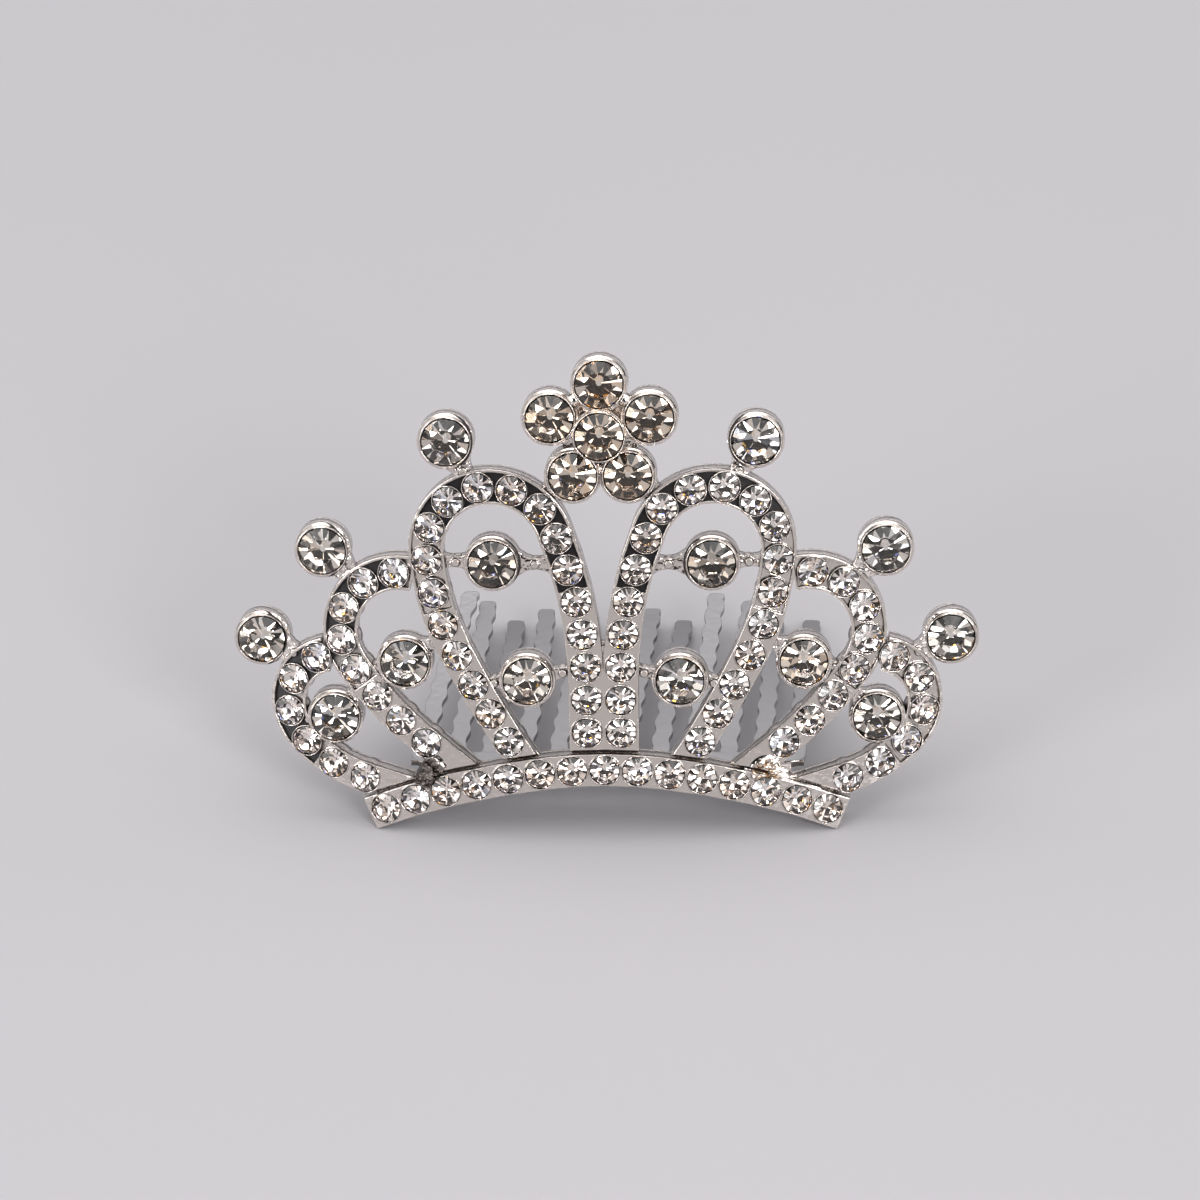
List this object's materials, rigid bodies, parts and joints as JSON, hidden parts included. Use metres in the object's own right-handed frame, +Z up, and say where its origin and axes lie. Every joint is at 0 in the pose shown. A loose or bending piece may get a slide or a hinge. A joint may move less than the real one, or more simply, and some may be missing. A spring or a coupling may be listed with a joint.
{
  "type": "tiara comb",
  "caption": "Bridal tiara on a hair comb: stone-set arches mirrored about a stone flower, on a curved band that leans back over a flat comb.",
  "frame": {"origin": "centre of the footprint, on the table the tiara rests on", "axes": "+X to the right seen from the front, +Y from the stone-set front back along the comb, +Z up"},
  "size_m": [0.0748, 0.036, 0.0467],
  "materials": {
    "plated_metal": "polished, as cast",
    "cut_glass": "faceted, foil backed"
  },
  "bodies": {
    "root": {"frame_and_comb": "plated_metal", "center_stone": "cut_glass", "petal_stone_top": "cut_glass", "petal_stone_upper_left": "cut_glass", "petal_stone_upper_right": "cut_glass", "petal_stone_lower_left": "cut_glass", "petal_stone_lower_right": "cut_glass", "tip_stone_left_1": "cut_glass", "tip_stone_left_2": "cut_glass", "tip_stone_left_3": "cut_glass", "tip_stone_right_1": "cut_glass", "tip_stone_right_2": "cut_glass", "tip_stone_right_3": "cut_glass", "inner_stone_left_1": "cut_glass", "inner_stone_left_2": "cut_glass", "inner_stone_left_3": "cut_glass", "inner_stone_left_4": "cut_glass", "inner_stone_right_1": "cut_glass", "inner_stone_right_2": "cut_glass", "inner_stone_right_3": "cut_glass", "inner_stone_right_4": "cut_glass", "band_stones": "cut_glass", "big_arch_stones_left": "cut_glass", "big_arch_stones_right": "cut_glass", "middle_arch_stones_left": "cut_glass", "middle_arch_stones_right": "cut_glass", "outer_arch_stones_left": "cut_glass", "outer_arch_stones_right": "cut_glass"}
  },
  "joints": []
}
